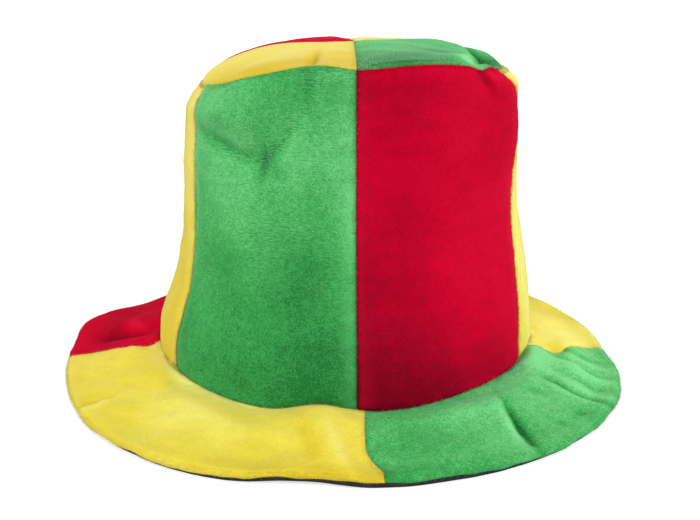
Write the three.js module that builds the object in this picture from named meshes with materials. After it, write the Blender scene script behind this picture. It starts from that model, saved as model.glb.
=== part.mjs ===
// A soft plush top hat for a clown costume, standing on its brim.
// Six crown panels, a quartered top and a quartered brim are sewn edge to edge,
// and a ring of dark cloth closes the padded brim from below.
// Millimetres, +Z up. The front of the hat faces -Y, and the origin is the middle of the brim
// on the surface that it rests on. Angles are in degrees from the front towards +X.
import * as THREE from "three";

const { degToRad, lerp, clamp } = THREE.MathUtils;

// Driving dimensions
const WALL = 3; // plush on a thin foam backing
const UNDER_CLOTH = 1.5; // dark cloth below the brim
const SEAM_GAP = 0.3; // between pieces sewn edge to edge
const TOP_SEAT = 0.5; // the same below the top, whose edge cuts across the waves of its seam
const CROWN_BASE_RADIUS = 96; // outside of the crown where it meets the brim
const TOP_CENTRE_HEIGHT = 163;
const TOP_FULLNESS = 2.1; // exponent of the cushion curve from the top's edge to its middle
const TOP_MIDDLE_SHIFT = 4.5; // the top's quarters meet this far towards +X of the crown's middle
const BRIM_SHIFT = 3.4; // the crown stands this far towards +X of the brim's middle
const RIM_NOSE = 4; // length of the rounded edge at the rim
const RIM_TIP = 0.2; // the cloth ends this far short of a full round
const HEM_INSET = 1.2; // the dark cloth stops this far inside the rim
const SEAM_PINCH = 1.1; // how far the stitches pull the cloth in
const SEAM_SPREAD = 5; // half-width of that groove
const THINNEST_BRIM = 1.4; // plush left at the bottom of a brim fold
const FOLD_FADE = 0.1; // share of the brim's width over which its folds die out at the crown
const EDGE_FADE = 8; // how late the top's folds die out at its edge, as a power of the way out

// Grid steps of each piece
const CROWN_STEPS = { around: 12, up: 15 };
const TOP_STEPS = 8;
const BRIM_STEPS = 18;

const GREEN = 0x3fa65a;
const RED = 0xbf0a2e;
const YELLOW = 0xf2d63c;
const BLACK = 0x1f1c20;

// The pieces between their seams
const CROWN_PANELS = [
  { name: "crown_front_left", from: -59, to: 3.6, colour: GREEN },
  { name: "crown_front_right", from: 3.6, to: 64, colour: RED },
  { name: "crown_right", from: 64, to: 124, colour: YELLOW },
  { name: "crown_back_right", from: 124, to: 182, colour: GREEN },
  { name: "crown_back_left", from: 182, to: 240, colour: RED },
  { name: "crown_left", from: 240, to: 301, colour: YELLOW },
];
const TOP_QUARTERS = [
  { name: "top_front_left", from: -106, to: 4, colour: YELLOW },
  { name: "top_front_right", from: 4, to: 112, colour: GREEN },
  { name: "top_back_right", from: 112, to: 180, colour: YELLOW },
  { name: "top_back_left", from: 180, to: 254, colour: RED },
];
const BRIM_QUARTERS = [
  { name: "brim_front_left", from: -77, to: 5, colour: YELLOW },
  { name: "brim_front_right", from: 5, to: 76, colour: GREEN },
  { name: "brim_back_right", from: 76, to: 180, colour: YELLOW },
  { name: "brim_back_left", from: 180, to: 283, colour: RED },
];

// How far round the crown's seams swing on their way from the brim to the top, and how late they do it,
// as a power of the way up
const CROWN_SEAM_SWINGS = [
  { angle: -120, swing: -1, late: 1 },
  { angle: -59, swing: -5, late: 1 },
  { angle: 3.6, swing: 0.3, late: 1 },
  { angle: 64, swing: 18, late: 2 },
  { angle: 124, swing: 4, late: 1.5 },
];

// Near the top the right seam turns back towards the front, where the cloth is gathered: how far, by the share
// of the way up, and how many degrees of cloth on each side go with it
const GATHERED_SEAM = 64;
const GATHER_SPREAD = 20;
const GATHER = [
  { share: 0, turn: 0 },
  { share: 0.6, turn: 0 },
  { share: 0.8, turn: 0.5 },
  { share: 0.88, turn: -1 },
  { share: 0.94, turn: -7 },
  { share: 1, turn: -17 },
];

// How far round the brim's seams swing on their way from the crown to the rim
const BRIM_SEAM_SWINGS = [
  { angle: -180, swing: 0 },
  { angle: -77, swing: -6 },
  { angle: 5, swing: 1 },
  { angle: 76, swing: 11 },
];

// The crown's wall by height: its radius, and how far it leans towards +X
const CROWN_WALL = [
  { height: 8, radius: 96.2, lean: 0 },
  { height: 25, radius: 95.3, lean: 0.3 },
  { height: 40, radius: 92.2, lean: 2.6 },
  { height: 50, radius: 89.5, lean: 3.8 },
  { height: 60, radius: 87.5, lean: 3.9 },
  { height: 72, radius: 85.5, lean: 3.8 },
  { height: 85, radius: 84.0, lean: 3.0 },
  { height: 105, radius: 82.5, lean: 2.7 },
  { height: 130, radius: 81.4, lean: 3.4 },
  { height: 165, radius: 81.2, lean: 3.4 },
];

// The seam round the top by angle: its height, its radius, and the height over which the wall rolls in to it
const SHOULDER = [
  { angle: -180, height: 151, radius: 78, roll: 12 },
  { angle: -120, height: 146, radius: 73.5, roll: 15 },
  { angle: -80, height: 143.5, radius: 72.5, roll: 16 },
  { angle: -50, height: 147.5, radius: 75, roll: 15 },
  { angle: -26, height: 154.7, radius: 78, roll: 11 },
  { angle: -7, height: 159.5, radius: 80, roll: 8 },
  { angle: 4, height: 157.8, radius: 79.5, roll: 8 },
  { angle: 24, height: 159.2, radius: 80, roll: 8 },
  { angle: 41, height: 157.2, radius: 79.5, roll: 8 },
  { angle: 54, height: 155, radius: 77, roll: 9 },
  { angle: 64, height: 152.2, radius: 74.5, roll: 9 },
  { angle: 90, height: 150, radius: 73, roll: 7 },
  { angle: 130, height: 150, radius: 76, roll: 11 },
];

// The brim by angle: the height of the crown's seam, the rim's radius from the crown's middle, and its lift
const BRIM_EDGE = [
  { angle: -180, seam: 12, rim: 144, lift: 0 },
  { angle: -140, seam: 12, rim: 138, lift: 0 },
  { angle: -118, seam: 12.5, rim: 134.5, lift: 0 },
  { angle: -103, seam: 12.5, rim: 148.5, lift: 1 },
  { angle: -91, seam: 12.5, rim: 145.2, lift: 0 },
  { angle: -78, seam: 12.5, rim: 144.4, lift: 0 },
  { angle: -68, seam: 12, rim: 144.5, lift: 0 },
  { angle: -56, seam: 11.6, rim: 146.8, lift: 0 },
  { angle: -40, seam: 10, rim: 148.2, lift: 0 },
  { angle: -20, seam: 9.4, rim: 147, lift: 0 },
  { angle: -6, seam: 13.8, rim: 142.5, lift: 1.5 },
  { angle: 5, seam: 10.6, rim: 145, lift: 0 },
  { angle: 16, seam: 10, rim: 145.8, lift: 0 },
  { angle: 37, seam: 11.9, rim: 147.6, lift: 0 },
  { angle: 55, seam: 12.6, rim: 147.2, lift: 0 },
  { angle: 75, seam: 13.6, rim: 142, lift: 0 },
  { angle: 98, seam: 12.4, rim: 137.5, lift: 0 },
  { angle: 118, seam: 12, rim: 135.5, lift: 0 },
  { angle: 145, seam: 12, rim: 139, lift: 0 },
];

// The brim's section from the crown's seam (out 0) to the rim (out 1): the share of the fall to the rim
// that is done there, and how far the padding swells above that
const BRIM_SECTION = [
  { out: 0, fall: 0, swell: 0 },
  { out: 0.07, fall: 0.03, swell: 0.8 },
  { out: 0.22, fall: 0.2, swell: 0.9 },
  { out: 0.42, fall: 0.5, swell: 0.6 },
  { out: 0.6, fall: 0.8, swell: 0.3 },
  { out: 0.78, fall: 1, swell: 0 },
  { out: 1, fall: 1, swell: 0 },
];

// The brim's rows from the rim to the inside of the crown's wall: a share of the way out from the crown's
// seam, and a step back in from there
const RIM_ROWS = [
  { out: 1, back: RIM_TIP },
  { out: 1, back: 0.25 * RIM_NOSE },
  { out: 1, back: 0.6 * RIM_NOSE },
  { out: 1, back: RIM_NOSE },
];
const BRIM_ROWS = [
  { out: 0.78, back: 0 },
  { out: 0.6, back: 0 },
  { out: 0.42, back: 0 },
  { out: 0.22, back: 0 },
  { out: 0.07, back: 0 },
  { out: 0, back: 0 },
  { out: 0, back: WALL },
];

// Folds and dents: a row each, at an angle and a place up the crown or out along the top or brim.
// The slant turns a fold's line from level, or from the way round, towards up or out.
// Length and width are half-sizes, and a negative rise is a dent.
const CROWN_FOLDS = [
  { angle: -43, place: 123, slant: -9, length: 19, width: 7, rise: -3.2 },
  { angle: -29.5, place: 114, slant: 90, length: 9, width: 6, rise: -2.2 },
  { angle: -23, place: 126, slant: 38, length: 12, width: 6, rise: -1.6 },
  { angle: -48, place: 137, slant: 0, length: 22, width: 9, rise: 2.2 },
  { angle: -12, place: 148, slant: 90, length: 11, width: 5, rise: -1.4 },
  { angle: 47, place: 151, slant: -48, length: 8, width: 5, rise: -1.8 },
  { angle: 33, place: 72, slant: 90, length: 40, width: 24, rise: -1.2 },
  { angle: 72, place: 122, slant: 90, length: 24, width: 10, rise: 1.6 },
  { angle: 98, place: 122, slant: 90, length: 30, width: 14, rise: -2.4 },
  { angle: -112, place: 116, slant: 12, length: 26, width: 9, rise: -2.4 },
  { angle: 152, place: 62, slant: -20, length: 24, width: 10, rise: -1.6 },
];
const TOP_FOLDS = [
  { angle: -12, place: 64, slant: 90, length: 14, width: 5, rise: -1.4 },
  { angle: 45, place: 68, slant: -35, length: 12, width: 5, rise: 1.6 },
  { angle: 56, place: 72, slant: -28, length: 13, width: 4.5, rise: -1.8 },
  { angle: 76, place: 68, slant: -16, length: 21, width: 10, rise: -4.6 },
];
const BRIM_FOLDS = [
  { angle: 36, place: 129, slant: 110, length: 13, width: 5, rise: -1.6 },
  { angle: 61, place: 122, slant: 92, length: 22, width: 5, rise: -1.3 },
  { angle: 67, place: 118, slant: 92, length: 20, width: 5, rise: 1.6 },
  { angle: 66, place: 101, slant: -13, length: 16, width: 6, rise: 3 },
  { angle: 0, place: 135, slant: 60, length: 12, width: 5, rise: 1.5 },
  { angle: -5, place: 102, slant: 0, length: 9, width: 5, rise: 1.6 },
  { angle: -55, place: 138, slant: 95, length: 8, width: 5, rise: -1.3 },
  { angle: -91, place: 115, slant: 92, length: 16, width: 5, rise: -1.5 },
  { angle: -99, place: 121, slant: 105, length: 18, width: 7, rise: 2.5 },
  { angle: 12, place: 140, slant: 5, length: 16, width: 4, rise: 1 },
];

// A smooth curve through the rows of a table, read at a value of its key column
function curveThrough(rows, key, columns) {
  const keys = rows.map((row) => row[key]);
  const samples = rows.flatMap((row) => columns.map((column) => row[column]));
  const curve = new THREE.CubicInterpolant(keys, samples, columns.length);
  return (at) => {
    const values = curve.evaluate(at);
    return Object.fromEntries(columns.map((column, i) => [column, values[i]]));
  };
}

// The same for a table by angle that closes on itself round the hat
function curveAround(rows, columns) {
  const turned = (row, turn) => ({ ...row, angle: row.angle + turn });
  const whole = [turned(rows.at(-1), -360), ...rows, turned(rows[0], 360), turned(rows[1], 360)];
  const curve = curveThrough(whole, "angle", columns);
  return (angle) => curve(((angle + 540) % 360) - 180);
}

const crownWall = curveThrough(CROWN_WALL, "height", ["radius", "lean"]);
const shoulder = curveAround(SHOULDER, ["height", "radius", "roll"]);
const brimEdge = curveAround(BRIM_EDGE, ["seam", "rim", "lift"]);
const brimSection = curveThrough(BRIM_SECTION, "out", ["fall", "swell"]);
const brimSwing = curveAround(BRIM_SEAM_SWINGS, ["swing"]);
const crownSwing = curveAround(CROWN_SEAM_SWINGS, ["swing", "late"]);
const gather = curveThrough(GATHER, "share", ["turn"]);

// The angle from a to b the short way round
function turnBetween(a, b) {
  return ((b - a + 540) % 360) - 180;
}

function hill(distance, halfWidth) {
  return Math.exp(-((distance / halfWidth) ** 2));
}

// How far the folds of a table lift the cloth at an angle and place, at a radius from the middle
function foldRise(folds, angle, place, radius) {
  return folds.reduce((sum, fold) => {
    const round = degToRad(turnBetween(fold.angle, angle)) * radius;
    const on = place - fold.place;
    const slant = degToRad(fold.slant);
    const along = round * Math.cos(slant) + on * Math.sin(slant);
    const across = on * Math.cos(slant) - round * Math.sin(slant);
    return sum + fold.rise * hill(along, fold.length) * hill(across, fold.width);
  }, 0);
}

// How far the nearest seam of a row of pieces pulls the cloth in
function seamPull(pieces, angle, radius) {
  const nearest = Math.min(...pieces.map((piece) => Math.abs(turnBetween(piece.from, angle))));
  return SEAM_PINCH * hill(degToRad(nearest) * radius, SEAM_SPREAD);
}

// The side shift of a wall that leans towards +X, seen at an angle
function leaning(height, angle) {
  return crownWall(height).lean * Math.sin(degToRad(angle));
}

// A point at an angle and radius from the crown's middle
function pointAt(angle, radius, height) {
  const turn = degToRad(angle);
  return new THREE.Vector3(BRIM_SHIFT + radius * Math.sin(turn), -radius * Math.cos(turn), height);
}

// Shares from 0 to 1, closer together at both ends
function easedSteps(steps) {
  return Array.from({ length: steps + 1 }, (_, i) => {
    const even = i / steps;
    return (even + (1 - Math.cos(Math.PI * even)) / 2) / 2;
  });
}

// The angles of a piece's columns, with half the seam gap left free at each end
function columnAngles(piece, steps, radius) {
  const free = THREE.MathUtils.radToDeg(SEAM_GAP / 2 / radius);
  return easedSteps(steps).map((share) => lerp(piece.from + free, piece.to - free, share));
}

// A closed cloth wall between two matching grids of points: rows run from the rim towards the top,
// and columns run round the hat, all the way where the wall is a ring
function clothWall(outside, inside, ring = false) {
  const rows = outside.length;
  const columns = outside[0].length;
  const corner = (side, row, column) => (side * rows + row) * columns + (column % columns);
  const index = [];
  const quad = (a, b, c, d) => index.push(a, b, c, a, c, d);
  const lastColumn = ring ? columns : columns - 1;
  for (let column = 0; column < lastColumn; column++) {
    const next = column + 1;
    for (let row = 0; row < rows - 1; row++) {
      const up = row + 1;
      quad(corner(0, row, column), corner(0, row, next), corner(0, up, next), corner(0, up, column));
      quad(corner(1, row, column), corner(1, up, column), corner(1, up, next), corner(1, row, next));
    }
    const end = rows - 1;
    quad(corner(1, 0, column), corner(1, 0, next), corner(0, 0, next), corner(0, 0, column));
    quad(corner(0, end, column), corner(0, end, next), corner(1, end, next), corner(1, end, column));
  }
  for (let row = 0; row < rows - 1 && !ring; row++) {
    const up = row + 1;
    const end = columns - 1;
    quad(corner(1, row, 0), corner(0, row, 0), corner(0, up, 0), corner(1, up, 0));
    quad(corner(0, row, end), corner(1, row, end), corner(1, up, end), corner(0, up, end));
  }
  const points = [...outside.flat(), ...inside.flat()];
  return new THREE.BufferGeometry().setFromPoints(points).setIndex(index);
}

// The crown's outside, in the column that starts from this angle at the brim, at a share of the way
// from the brim's seam to the top's seam
function crownOutside(column, share) {
  const seam = crownSwing(column);
  const gathered = gather(share).turn * hill(turnBetween(GATHERED_SEAM, column), GATHER_SPREAD);
  const angle = column + seam.swing * share ** seam.late + gathered;
  const top = shoulder(angle);
  const height = lerp(brimEdge(angle).seam, top.height, share);
  const rolled = clamp((height - top.height + top.roll) / top.roll, 0, 1) ** 2;
  const smooth = lerp(crownWall(height).radius, top.radius, rolled) + leaning(height, angle);
  const pulled = foldRise(CROWN_FOLDS, angle, height, smooth) - seamPull(CROWN_PANELS, column, smooth);
  return { angle, radius: smooth + pulled * (1 - rolled), height };
}

// One crown panel: its inside lies a wall's thickness in, measured square to the slope
function crownPanel(panel) {
  const slopeStep = 0.01;
  const columns = columnAngles(panel, CROWN_STEPS.around, crownWall(TOP_CENTRE_HEIGHT).radius);
  const grids = easedSteps(CROWN_STEPS.up).map((share) =>
    columns.map((column) => {
      const here = crownOutside(column, share);
      const low = crownOutside(column, Math.max(share - slopeStep, 0));
      const high = crownOutside(column, Math.min(share + slopeStep, 1));
      const slope = (high.radius - low.radius) / (high.height - low.height);
      const inner = here.radius - WALL * Math.hypot(1, slope);
      return [
        pointAt(here.angle, here.radius, here.height),
        pointAt(here.angle, inner, here.height),
      ];
    }),
  );
  return clothWall(
    grids.map((row) => row.map((pair) => pair[0])),
    grids.map((row) => row.map((pair) => pair[1])),
  );
}

// The top's cushion at an angle and a share of the way out to its seam, on its outside or inside
function topPoint(angle, share, inset) {
  const edge = shoulder(angle);
  const foot = edge.height + TOP_SEAT;
  const radius = (edge.radius + leaning(edge.height, angle) - inset) * share;
  const full = Math.sqrt(1 - share ** TOP_FULLNESS);
  const fade = 1 - share ** EDGE_FADE;
  const pulled = foldRise(TOP_FOLDS, angle, radius, radius) - seamPull(TOP_QUARTERS, angle, radius);
  const point = pointAt(angle, radius, lerp(foot, TOP_CENTRE_HEIGHT - inset, full) + pulled * fade);
  point.x += TOP_MIDDLE_SHIFT * (1 - share);
  return point;
}

// One quarter of the top, as a square grid bent to a quarter disc, clear of its seams by half the gap
function topQuarter(quarter) {
  const middle = (quarter.from + quarter.to) / 2;
  const half = (quarter.to - quarter.from) / 2;
  const clear = SEAM_GAP / 2 / Math.sin(degToRad(half));
  const away = pointAt(middle, clear, 0).sub(pointAt(middle, 0, 0));
  const steps = Array.from({ length: TOP_STEPS + 1 }, (_, i) => Math.sin((i / TOP_STEPS) * (Math.PI / 2)));
  const grid = (inset) =>
    steps.map((b) =>
      steps.map((a) => {
        const share = Math.max(a, b);
        const side = share === 0 ? 0 : a > b ? b / a - 1 : 1 - a / b;
        const point = topPoint(middle + side * half, share, inset);
        return point.add(away);
      }),
    );
  return clothWall(grid(0), grid(WALL));
}

// The brim's layers in one row of its grid, in the column that starts from this angle at the crown
function brimLayers(column, row) {
  const angle = column + brimSwing(column).swing * row.out;
  const edge = brimEdge(angle);
  const radius = lerp(CROWN_BASE_RADIUS, edge.rim, row.out) - row.back;
  const section = brimSection(row.out);
  const flat = UNDER_CLOTH + SEAM_GAP + WALL;
  const smooth = lerp(edge.seam - SEAM_GAP, flat, section.fall) + Math.max(edge.lift, 0) * row.out;
  const fade = Math.min(row.out / FOLD_FADE, 1);
  const pulled = foldRise(BRIM_FOLDS, angle, radius, radius) - seamPull(BRIM_QUARTERS, column, radius);
  const base = smooth - WALL;
  const top = Math.max(smooth + section.swell + pulled * fade, base + THINNEST_BRIM);
  const nose = clamp(1 - (edge.rim - radius) / RIM_NOSE, 0, 1);
  const rounded = Math.sqrt(1 - nose ** 2);
  const middle = (top + base) / 2;
  return {
    plushTop: pointAt(angle, radius, lerp(middle, top, rounded)),
    plushBase: pointAt(angle, radius, lerp(middle, base, rounded)),
    clothTop: pointAt(angle, radius, base - SEAM_GAP),
    clothBase: pointAt(angle, radius, base - SEAM_GAP - UNDER_CLOTH),
  };
}

function brimGrid(rows, columns, layer) {
  return rows.map((row) => columns.map((column) => brimLayers(column, row)[layer]));
}

// One quarter of the brim's plush
function brimQuarter(quarter) {
  const columns = columnAngles(quarter, BRIM_STEPS, CROWN_BASE_RADIUS);
  const rows = [...RIM_ROWS, ...BRIM_ROWS];
  return clothWall(brimGrid(rows, columns, "plushTop"), brimGrid(rows, columns, "plushBase"));
}

// The dark cloth under the brim, one ring that lies flat near the rim
function brimUnderside() {
  const columns = BRIM_QUARTERS.flatMap((quarter) =>
    columnAngles(quarter, BRIM_STEPS, CROWN_BASE_RADIUS).slice(1),
  );
  const rows = [{ out: 1, back: HEM_INSET }, ...BRIM_ROWS];
  return clothWall(brimGrid(rows, columns, "clothTop"), brimGrid(rows, columns, "clothBase"), true);
}

function piece(name, geometry, colour) {
  const cloth = new THREE.MeshStandardMaterial({ color: colour, roughness: 0.95, metalness: 0 });
  const mesh = new THREE.Mesh(geometry, cloth);
  mesh.name = name;
  return mesh;
}

const hat = new THREE.Group();
CROWN_PANELS.forEach((panel) => hat.add(piece(panel.name, crownPanel(panel), panel.colour)));
TOP_QUARTERS.forEach((quarter) => hat.add(piece(quarter.name, topQuarter(quarter), quarter.colour)));
BRIM_QUARTERS.forEach((quarter) => hat.add(piece(quarter.name, brimQuarter(quarter), quarter.colour)));
hat.add(piece("brim_underside", brimUnderside(), BLACK));

export default hat;
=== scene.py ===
"""A soft plush clown hat of coloured velour panels, with a quartered top and a padded brim, on a pale floor.

Shapes are worked out in millimetres and made in metres. Angles are in degrees from the front of the hat
towards +X, round the middle of the crown.
"""

import math
from collections import namedtuple

import bpy
import numpy as np
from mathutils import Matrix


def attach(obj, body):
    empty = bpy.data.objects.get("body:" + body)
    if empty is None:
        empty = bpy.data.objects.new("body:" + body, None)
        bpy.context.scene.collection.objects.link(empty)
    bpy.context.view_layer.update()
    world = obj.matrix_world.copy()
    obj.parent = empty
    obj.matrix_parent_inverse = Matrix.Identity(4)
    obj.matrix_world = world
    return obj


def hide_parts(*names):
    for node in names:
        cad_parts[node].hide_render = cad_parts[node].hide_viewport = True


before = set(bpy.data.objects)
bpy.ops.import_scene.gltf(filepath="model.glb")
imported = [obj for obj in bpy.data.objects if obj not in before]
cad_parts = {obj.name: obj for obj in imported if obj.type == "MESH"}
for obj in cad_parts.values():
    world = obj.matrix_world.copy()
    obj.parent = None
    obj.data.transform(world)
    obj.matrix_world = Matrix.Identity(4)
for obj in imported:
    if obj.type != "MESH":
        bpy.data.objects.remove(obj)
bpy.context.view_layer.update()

MM = 0.001
TINY = 1e-9
UP = np.array([0.0, 0.0, 1.0])
WAVE_PERIOD = math.pi / 10  # of a wave texture at scale 1

# Sizes of the hat, in millimetres
WALL = 3.0  # plush on a thin foam backing
UNDER_CLOTH = 1.5  # dark cloth below the brim
LAYER_GAP = 0.3  # between the brim's layers as they are cut
CROWN_BASE_RADIUS = 96.0  # outside of the crown where it meets the brim
CROWN_CLOTH_HEIGHT = 148.0  # length of the cloth up the crown, for its grid lines
BRIM_MIDDLE_RADIUS = 1.25 * CROWN_BASE_RADIUS  # half-way out along the brim, for its grid lines
TOP_CENTRE_HEIGHT = 163.0
TOP_FULLNESS = 2.1  # exponent of the cushion curve from the top's edge to its middle
TOP_RISE = 0.56  # exponent of its rise at the edge
TOP_MIDDLE_SHIFT = 4.5  # the top's quarters meet this far towards +X of the crown's middle
BRIM_SHIFT = 3.4  # the crown stands this far towards +X of the brim's middle
RIM_NOSE = 4.0  # length of the rounded edge at the rim
RIM_PILE = 0.5  # the pile stands this far beyond the cloth at the rim
SEAM_PINCH = 1.1  # how far the stitches pull the cloth in
SEAM_SPREAD = 5.0  # half-width of that groove
THINNEST_BRIM = 0.9  # plush left at the bottom of a brim fold
CROWN_LEDGE = 3.4  # width of the brim that carries the crown's wall
FOLD_FADE = 0.07  # share of the brim's width over which its folds die out at the crown
RIM_CALM = 7.0  # the brim's folds and waves grow shallow over this width at the rim
RIM_HOLD = 0.6  # share of a fold's depth that is lost there
CROWN_BEVEL = 1.6  # the crown's rim slopes down inwards under the top
TOP_BEVEL = 1.35  # the top's edge slopes down inwards over it
EDGE_DIP = 0.2  # steepest fold of the top over the crown's rim
INNER_DIP = 2.0  # how much steeper it may be inside that rim
TOP_TURN = 3.5  # the top's thickness turns from upright to level over this width at its edge
EDGE_FADE = 18  # how late the top's folds die out at its edge, as a power of the way out

# The finer form that sewing gives to each piece
STITCH_GAP = 0.08  # between two pieces in a seam
HEM_GAP = 0.18  # between the brim's plush and the cloth below it
ROLL_WIDTH = 2.2  # an edge rolls into its seam over this width
SIDE_ROLL = 0.26  # depth of that roll between two crown panels
SIDE_CLOSING = 22  # how late it closes up to the top's seam, as a power of the way up
FLAT_ROLL = 0.2  # the same where a seam lies flat
PUCKER_RISE = 0.3  # little gathers along a seam
TOP_PUCKERS = 0.08  # the same on the top
PUCKER_SIZE = 7.5
PUCKER_REACH = 6.0
PUCKER_SEED = 17
RIM_LUMPS = [(30, 0.14, 31), (9, 0.07, 37)]  # sizes, rises and seeds of the rim's uneven turning
HEM_UNEVEN = 1.8  # how much more the curl over the dark cloth varies
DEEPEST_CURL = 1.7  # of the plush over the dark cloth
NOSE_PLACES = (0.004, 0.03, 0.09, 0.18, 0.3, 0.45, 0.62, 0.8, 1.0)  # grid lines over the rim, as shares
HEM_PLACES = (0.0, 0.3, 1.0, 2.2)  # grid lines at the edge of the dark cloth
EDGE_PLACES = (0.0, 0.15, 0.4, 0.75, 1.2, 1.7, 2.3)  # grid lines across a rolled edge
CLOTH_STEP = 1.3  # from one grid line to the next elsewhere
LINING_STEP = 2.4  # the same for the plain cloth below the brim
COURSE_HEIGHT = 1.15  # from one knitted row to the next
ROWS_SHOWN = {"green": 1.0, "red": 0.3, "yellow": 0.4}  # how far they show on the crown
ROWS_FROM, ROWS_FULL = 40, 100  # heights between which they come out
ROWS_LEAST = 0.1  # share of them that shows below
TOP_GRAIN = 0.4  # the pile of the top lies smoother and shorter than the rest
TOP_ROWS = 0.8  # share of the knitted rows that shows there
CREASE_SHADE = 0.36  # painted shade in a crease, and painted light on a ridge, for each millimetre of its depth or rise
FAR_FROM_SEAM = 50.0  # reach from which a seam no longer shades the cloth

# The pile where it stands over the edges of a piece: short closed tufts
FUZZ_PER_SQUARE_MM = 3.2
FUZZ_LINES = 5  # grid lines from an edge that carry it
FUZZ_LENGTH = (0.7, 1.6)
FUZZ_WIDTH = (0.1, 0.18)
FUZZ_ROOT = 0.1  # how far a tuft starts below the surface
FUZZ_LEAN = 0.7  # how far the tufts lean over
FUZZ_STRAY = 0.45  # how far they stray from that
FUZZ_OUTWARD = 0.5  # how much of the lean is away from the hat's middle
FUZZ_TONE = (0.15, 0.3)  # their mean lightness above the cloth's nap, and its spread
FUZZ_SHADING = 0.5  # how much a tuft's own way counts in its shading
FUZZ_SEED = 100  # the seeds start at this times the number of pieces in a row
HAT_MIDDLE = (BRIM_SHIFT, 0, 60)

# The cloth's finishes: scales of their noise and waves, for each metre
CLOUD_SCALE = 34  # broad brushing of the pile
TUFT_SCALE = 300
GRAIN_SCALE = 1250  # single tips of the pile, and stitches
PATCH_SCALE = 30  # patches where the knitted rows show
FLUFF_SCALE = 700  # on the back of the plush
YARN_SCALE = 330  # of the dark cloth
LINT_SCALE = 260
NOISE_LOW, NOISE_HIGH = 0.3, 0.7  # values between which most of a noise lies

# How strongly each effect shows in them
CLOUD_TONE = 0.8
TUFT_SHARE, GRAIN_SHARE = 0.3, 0.7
ROWS_TONE = 0.6  # of the knitted rows in the colour
ROWS_HEIGHT = 0.25  # and in the bump
DASH_STRETCH = (0.3, 1, 1)  # makes the stitches longer than high
ROLL_HIGHLIGHT_SHARE = 0.18  # of the painted highlight on the roll beside a seam
GROOVE_SHADE = (0.72, 0.6, 0.55, 1)  # multiplies the colour in a stitched groove
PILE_DEPTH, BACK_DEPTH, WEAVE_DEPTH = 0.0003, 0.0004, 0.0003  # of the bumps, in metres

# The photograph's viewpoint, in metres and degrees, and the floor
CAMERA_PLACE = (0.0061, -0.5, 0.2084)
CAMERA_TILT = 17.54  # down from level
CAMERA_LENS, CAMERA_SENSOR = 51.88, 36
FLOOR_HALF, FLOOR_HEIGHT = 60.0, -0.0004

Piece = namedtuple("Piece", "name start end cloth")
Fold = namedtuple("Fold", "angle place slant length width rise")
PaintedLight = namedtuple("PaintedLight", "angle place across along tone")


class Table:
    """A short table. Each named column is a smooth curve over the first one, all round the hat if closed."""

    def __init__(self, columns, *rows, closed=False):
        rows = np.array(rows, float)
        if closed:
            turn = np.zeros(rows.shape[1])
            turn[0] = 360
            rows = np.vstack([rows[-1:] - turn, rows, rows[:2] + turn])
        self.closed = closed
        self.keys = rows[:, 0]
        self.columns = dict(zip(columns.split()[1:], rows[:, 1:].T))

    def at(self, where, column):
        keys, values = self.keys, self.columns[column]
        where = np.asarray(where, float)
        if self.closed:
            where = (where + 540) % 360 - 180
        where = np.clip(where, keys[0], keys[-1])
        last = len(keys) - 1
        i1 = np.clip(np.searchsorted(keys, where, side="right"), 1, last)
        i0 = i1 - 1
        before = np.where(i0 > 0, i0 - 1, i1)
        after = np.where(i1 < last, i1 + 1, i0)
        span = keys[i1] - keys[i0]
        bend0 = span / 2 / (keys[i0] - keys[before])
        bend1 = span / 2 / (keys[after] - keys[i1])
        p = (where - keys[i0]) / span
        return (
            values[before] * bend0 * (-(p**3) + 2 * p**2 - p)
            + values[i0] * ((1 + bend0) * p**3 - (1.5 + 2 * bend0) * p**2 + (bend0 - 0.5) * p + 1)
            + values[i1] * (-(1 + bend1) * p**3 + (1.5 + bend1) * p**2 + 0.5 * p)
            + values[after] * bend1 * (p**3 - p**2)
        )


# The pieces between their seams
CROWN_PANELS = [
    Piece("crown_front_left", -59, 3.6, "green"),
    Piece("crown_front_right", 3.6, 64, "red"),
    Piece("crown_right", 64, 124, "yellow"),
    Piece("crown_back_right", 124, 182, "green"),
    Piece("crown_back_left", 182, 240, "red"),
    Piece("crown_left", 240, 301, "yellow"),
]
TOP_QUARTERS = [
    Piece("top_front_left", -106, 4, "yellow"),
    Piece("top_front_right", 4, 112, "green"),
    Piece("top_back_right", 112, 180, "yellow"),
    Piece("top_back_left", 180, 254, "red"),
]
BRIM_QUARTERS = [
    Piece("brim_front_left", -77, 5, "yellow"),
    Piece("brim_front_right", 5, 76, "green"),
    Piece("brim_back_right", 76, 180, "yellow"),
    Piece("brim_back_left", 180, 283, "red"),
]

# How far round the crown's seams swing from the brim to the top, and how late, as a power of the way up
CROWN_SEAM_SWINGS = Table(
    "angle swing late",
    (-120, -1, 1),
    (-59, -5, 1),
    (3.6, 0.3, 1),
    (64, 18, 2),
    (124, 4, 1.5),
    closed=True,
)

# Near the top the right seam turns back towards the front, where the cloth is gathered: how far, by the
# share of the way up, and how many degrees of cloth on each side go with it
GATHERED_SEAM = 64
GATHER_SPREAD = 20
GATHER = Table("share turn", (0, 0), (0.6, 0), (0.8, 0.5), (0.88, -1), (0.94, -7), (1, -17))

# How far round the brim's seams swing from the crown to the rim, and the bends that three of them have
BRIM_SEAM_SWINGS = Table("angle swing", (-180, 0), (-77, -6), (5, 1), (76, 11), closed=True)
BRIM_SEAM_BENDS = Table(
    "out left front right",
    (0, -3, 0.6, -1.6),
    (0.12, 0.8, 0.1, -3.2),
    (0.3, 0, -0.6, -4.2),
    (0.42, -1, -0.9, -1.2),
    (0.6, -2, -1.1, 1.9),
    (0.72, -2.3, -0.4, 1.9),
    (0.88, -1.2, 0.7, 1.3),
    (1, 0, 0.6, 0),
)
BENT_SEAMS = {"left": -77, "front": 5, "right": 76}
BEND_SPREAD = 15  # degrees on each side that follow a seam's bends

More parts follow.
